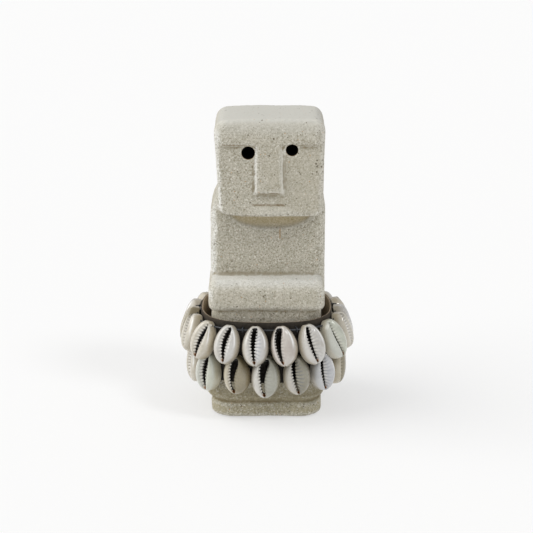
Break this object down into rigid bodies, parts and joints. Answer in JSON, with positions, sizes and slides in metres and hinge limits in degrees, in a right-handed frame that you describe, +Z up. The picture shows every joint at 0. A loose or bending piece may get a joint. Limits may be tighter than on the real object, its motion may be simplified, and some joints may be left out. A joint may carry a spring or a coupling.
{
  "type": "carved stone figure with cowrie skirt",
  "caption": "Blocky carved stone idol with a jutting head and lap bar, wearing a loose leather band hung with two rows of cowrie shells.",
  "frame": {"origin": "centre of the flat underside of the foot, where the figure stands", "axes": "+Z up, -Y the way the face looks, +X towards the figure's left hand"},
  "size_m": [0.0925, 0.0923, 0.16],
  "materials": {
    "stone": "matte, fine grained",
    "leather": "dark, worn",
    "cord": "waxed",
    "thread": "waxed",
    "cowrie": "glossy"
  },
  "bodies": {
    "stone": {"stone_figure": "stone"},
    "skirt": {"waist_band": "leather", "upper_cord": "cord", "upper_cord_knot": "cord", "lower_cord": "cord", "lower_cord_knot": "cord", "upper_tie_1": "thread", "upper_tie_2": "thread", "upper_tie_3": "thread", "upper_tie_4": "thread", "upper_tie_5": "thread", "upper_tie_6": "thread", "lower_tie_1": "thread", "lower_tie_2": "thread", "lower_tie_3": "thread", "lower_tie_4": "thread", "lower_tie_5": "thread", "lower_tie_6": "thread", "seam_stitch_1": "thread", "seam_stitch_2": "thread", "seam_stitch_3": "thread", "upper_cowrie_01": "cowrie", "upper_cowrie_02": "cowrie", "upper_cowrie_03": "cowrie", "upper_cowrie_04": "cowrie", "upper_cowrie_05": "cowrie", "upper_cowrie_06": "cowrie", "upper_cowrie_07": "cowrie", "upper_cowrie_08": "cowrie", "upper_cowrie_09": "cowrie", "upper_cowrie_10": "cowrie", "upper_cowrie_11": "cowrie", "upper_cowrie_12": "cowrie", "upper_cowrie_13": "cowrie", "upper_cowrie_14": "cowrie", "upper_cowrie_15": "cowrie", "upper_cowrie_16": "cowrie", "upper_cowrie_17": "cowrie", "upper_cowrie_18": "cowrie", "lower_cowrie_01": "cowrie", "lower_cowrie_02": "cowrie", "lower_cowrie_03": "cowrie", "lower_cowrie_04": "cowrie", "lower_cowrie_05": "cowrie", "lower_cowrie_06": "cowrie", "lower_cowrie_07": "cowrie", "lower_cowrie_08": "cowrie", "lower_cowrie_09": "cowrie", "lower_cowrie_10": "cowrie", "lower_cowrie_11": "cowrie", "lower_cowrie_12": "cowrie", "lower_cowrie_13": "cowrie", "lower_cowrie_14": "cowrie", "lower_cowrie_15": "cowrie", "lower_cowrie_16": "cowrie"}
  },
  "joints": [
    {"name": "skirt_slide", "type": "slide", "parent": "stone", "child": "skirt", "axis": [0, 0, 1], "range_m": [-0.013, 0.0035]}
  ]
}
